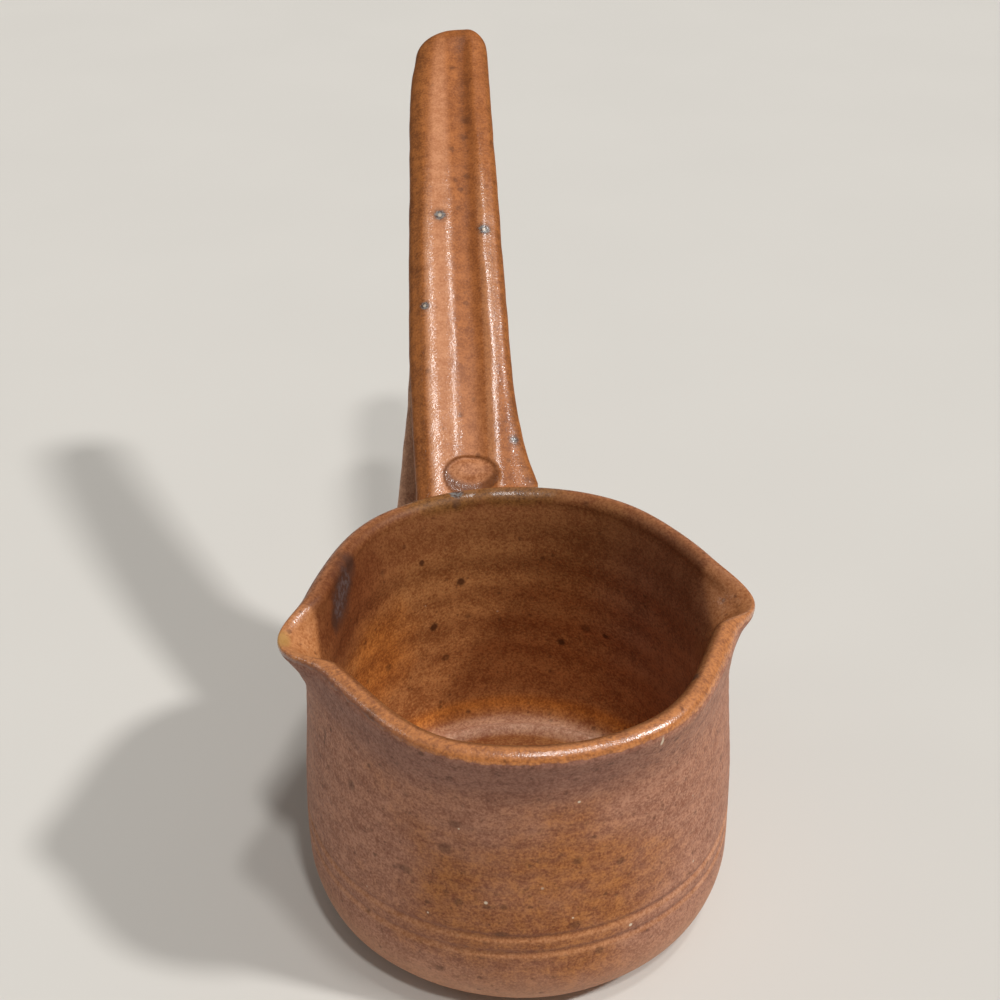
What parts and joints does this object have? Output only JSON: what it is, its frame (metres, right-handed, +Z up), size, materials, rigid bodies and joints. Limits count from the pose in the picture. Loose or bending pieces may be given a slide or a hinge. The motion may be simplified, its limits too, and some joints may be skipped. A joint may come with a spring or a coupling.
{
  "type": "butter warmer",
  "caption": "Stoneware butter warmer: a small round pot with pouring lips at both sides and a long rising strap handle doubled over into a loop",
  "frame": {"origin": "the centre of the foot ring, on the table, on the pot's axis", "axes": "+Z up, +Y to the back where the handle goes, +X to the right lip"},
  "size_m": [0.0967, 0.2076, 0.1426],
  "materials": {
    "pot_glaze": "satin",
    "handle_glaze": "gloss"
  },
  "bodies": {
    "root": {"pot": "pot_glaze", "handle": "handle_glaze"}
  },
  "joints": []
}
